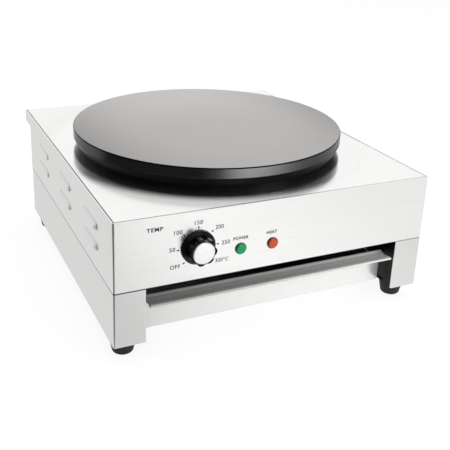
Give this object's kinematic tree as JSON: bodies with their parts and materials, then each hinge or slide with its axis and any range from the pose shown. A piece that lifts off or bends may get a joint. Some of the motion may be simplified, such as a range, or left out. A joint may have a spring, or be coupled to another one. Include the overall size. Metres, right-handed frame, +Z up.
{
  "type": "electric crepe maker",
  "caption": "Countertop electric crepe maker: round cast griddle on a folded stainless housing, thermostat knob, two pilot lamps, rubber feet and a drawer that slides out at the front.",
  "frame": {"origin": "centre of the outline, on the surface that the feet stand on", "axes": "+X to the right seen from the front, +Y from the front to the back, +Z up"},
  "size_m": [0.4564, 0.5096, 0.2165],
  "materials": {
    "black_enamel": "gloss black enamel",
    "brass": "turned brass",
    "ceramic_white": "moulded ceramic-filled resin",
    "copper": "drawn copper tube",
    "element_steel": "heat-tinted sheath",
    "foot_rubber": "matt moulded rubber",
    "galvanised": "dull zinc-coated sheet",
    "griddle_iron": "turned and seasoned, satin",
    "knob_black": "gloss moulded phenolic",
    "knob_silver": "satin disc",
    "lens_green": "clear green lens, unlit",
    "lens_red": "clear orange-red lens, unlit",
    "mineral_wool": "pressed mineral fibre",
    "nylon_black": "moulded nylon",
    "stainless": "fine horizontal brushing, nearly mirror-like",
    "zinc_steel": "bright zinc plating"
  },
  "bodies": {
    "housing": {"housing_wrap": "stainless", "top_cover": "stainless", "rear_panel": "stainless", "deck": "galvanised", "base_side_left": "stainless", "base_side_right": "stainless", "guide_wall_left": "galvanised", "guide_wall_right": "galvanised", "drawer_rail_left": "galvanised", "drawer_rail_right": "galvanised", "foot_front_left": "foot_rubber", "foot_front_right": "foot_rubber", "foot_rear_left": "foot_rubber", "foot_rear_right": "foot_rubber", "foot_screws": "zinc_steel", "foot_nuts": "zinc_steel", "rear_screws": "zinc_steel", "deck_screws": "zinc_steel", "griddle_plate": "griddle_iron", "support_ring": "black_enamel", "heating_element": "element_steel", "clamp_plate": "galvanised", "insulation_disc": "mineral_wool", "heater_pan": "galvanised", "clamp_bridge": "galvanised", "centre_stud": "zinc_steel", "stud_nut": "zinc_steel", "thermostat_body": "ceramic_white", "thermostat_bracket": "galvanised", "bracket_screws": "zinc_steel", "capillary_tube": "copper", "safety_cutout": "ceramic_white", "power_lamp_lens": "lens_green", "power_lamp_body": "nylon_black", "heat_lamp_lens": "lens_red", "heat_lamp_body": "nylon_black", "terminal_block": "ceramic_white", "cable_gland": "nylon_black", "gland_nut": "nylon_black", "earth_screw": "brass"},
    "knob": {"control_knob": "knob_black", "knob_cap": "knob_silver", "thermostat_spindle": "zinc_steel"},
    "drawer": {"drawer_front": "stainless", "drawer_tray": "stainless", "drawer_rivets": "zinc_steel"}
  },
  "joints": [
    {"name": "knob_turn", "type": "hinge", "parent": "housing", "child": "knob", "pos_m": [-0.118, -0.23525, 0.1408], "axis": [0, 1, 0], "range_deg": [0, 270]},
    {"name": "drawer_slide", "type": "slide", "parent": "housing", "child": "drawer", "axis": [0, -1, 0], "range_m": [0, 0.3]}
  ]
}
